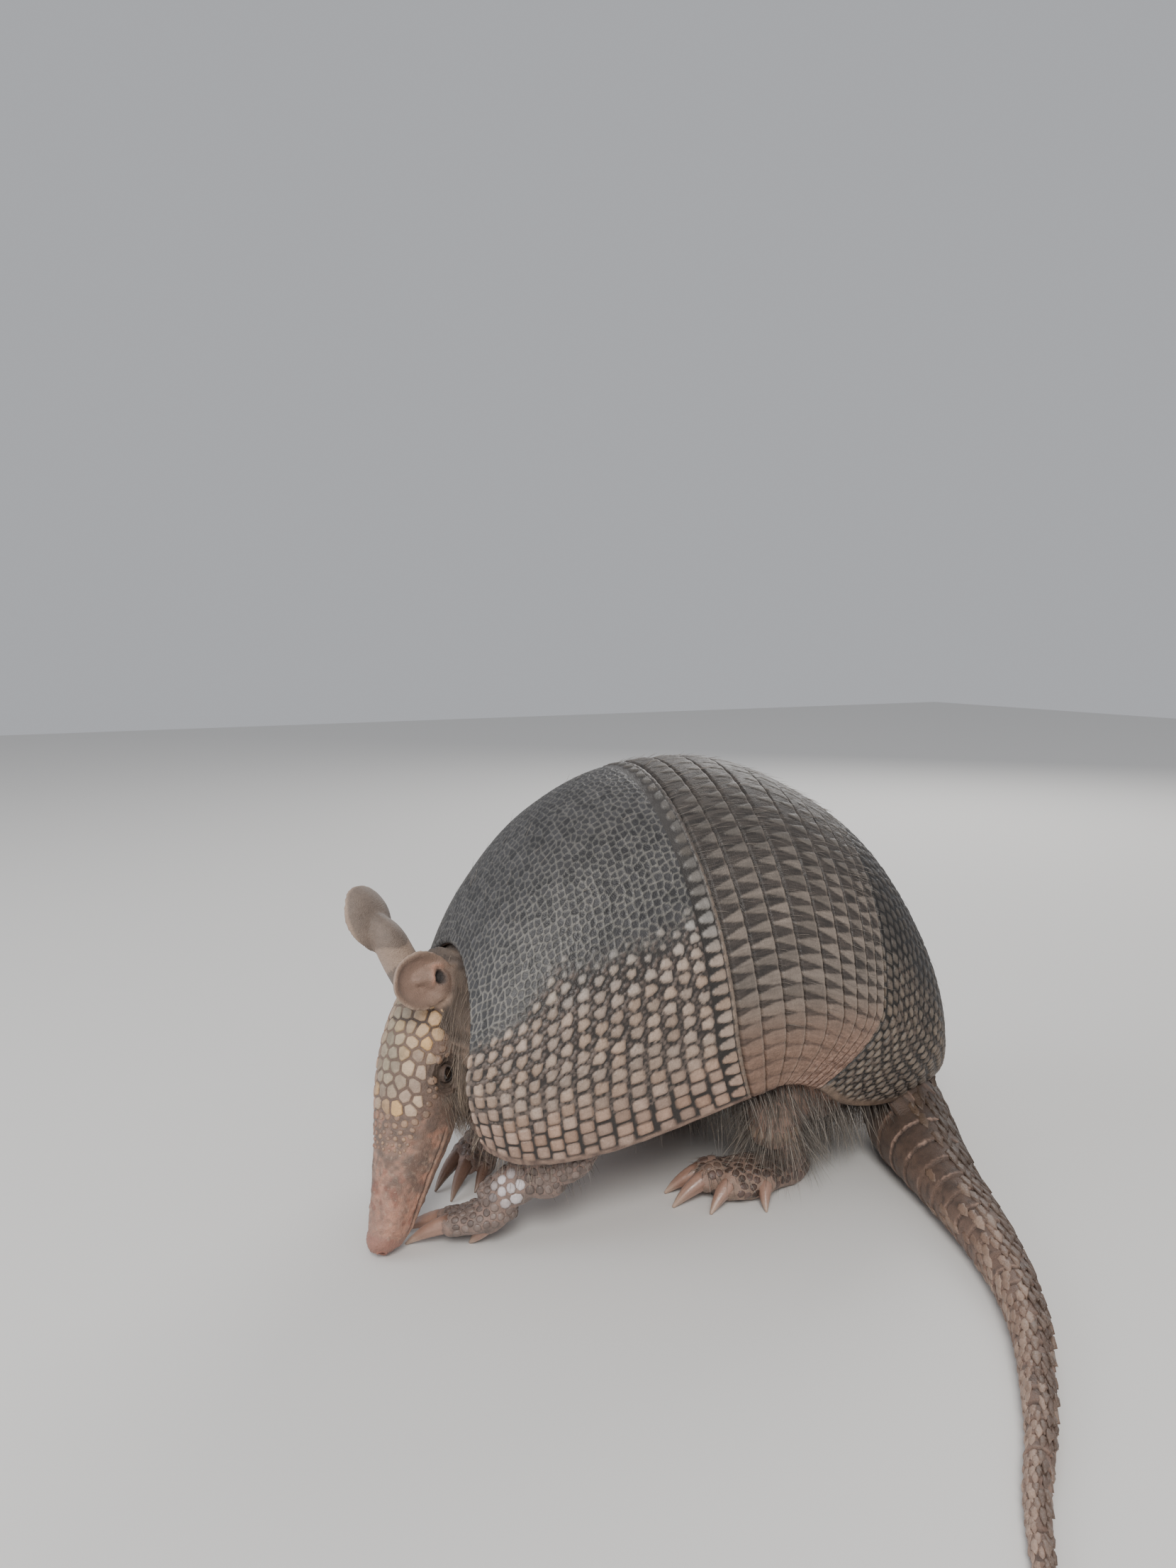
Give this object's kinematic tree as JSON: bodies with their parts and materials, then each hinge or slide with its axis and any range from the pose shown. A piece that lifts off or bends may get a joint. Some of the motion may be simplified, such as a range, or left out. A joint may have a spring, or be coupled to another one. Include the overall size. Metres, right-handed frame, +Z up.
{
  "type": "armadillo, a still life-size model of the animal",
  "caption": "Life-size armadillo standing with its nose to the ground: banded shell, long head with upright ears, clawed feet and a tail laid round to one side.",
  "frame": {"origin": "on the ground under the middle of the whole, tail included", "axes": "+Z up, +X from head to rump, +Y to the animal's right; the tail lies toward -Y"},
  "size_m": [0.3238, 0.3924, 0.2011],
  "materials": {
    "shield_horn": "horny scutes, dull sheen",
    "rump_horn": "horny scutes, dull sheen",
    "band_horn": "horny bands, dull sheen",
    "crown_horn": "smooth horny scales, soft sheen",
    "body_skin": "wrinkled bare skin, matt",
    "face_skin": "fine-grained bare skin, matt",
    "ear_skin": "pebbled bare skin, matt",
    "foot_skin": "scaly skin, matt",
    "tail_horn": "ringed horny scales, dull sheen",
    "claw_horn": "polished claw horn",
    "eye": "wet black"
  },
  "bodies": {
    "root": {"scapular_shield": "shield_horn", "band_1": "band_horn", "band_2": "band_horn", "band_3": "band_horn", "band_4": "band_horn", "band_5": "band_horn", "band_6": "band_horn", "band_7": "band_horn", "band_8": "band_horn", "band_9": "band_horn", "pelvic_shield": "rump_horn", "head": "face_skin", "head_shield": "crown_horn", "eye_left": "eye", "eye_right": "eye", "ear_left": "ear_skin", "ear_right": "ear_skin", "neck": "body_skin", "trunk": "body_skin", "foreleg_left": "foot_skin", "foreclaw_left_1": "claw_horn", "foreclaw_left_2": "claw_horn", "foreclaw_left_3": "claw_horn", "foreclaw_left_4": "claw_horn", "foreleg_right": "foot_skin", "foreclaw_right_1": "claw_horn", "foreclaw_right_2": "claw_horn", "foreclaw_right_3": "claw_horn", "foreclaw_right_4": "claw_horn", "hindleg_left": "foot_skin", "hindclaw_left_1": "claw_horn", "hindclaw_left_2": "claw_horn", "hindclaw_left_3": "claw_horn", "hindclaw_left_4": "claw_horn", "hindclaw_left_5": "claw_horn", "hindleg_right": "foot_skin", "hindclaw_right_1": "claw_horn", "hindclaw_right_2": "claw_horn", "hindclaw_right_3": "claw_horn", "hindclaw_right_4": "claw_horn", "hindclaw_right_5": "claw_horn", "tail_base": "tail_horn", "tail_middle": "tail_horn", "tail_tip": "tail_horn"}
  },
  "joints": []
}
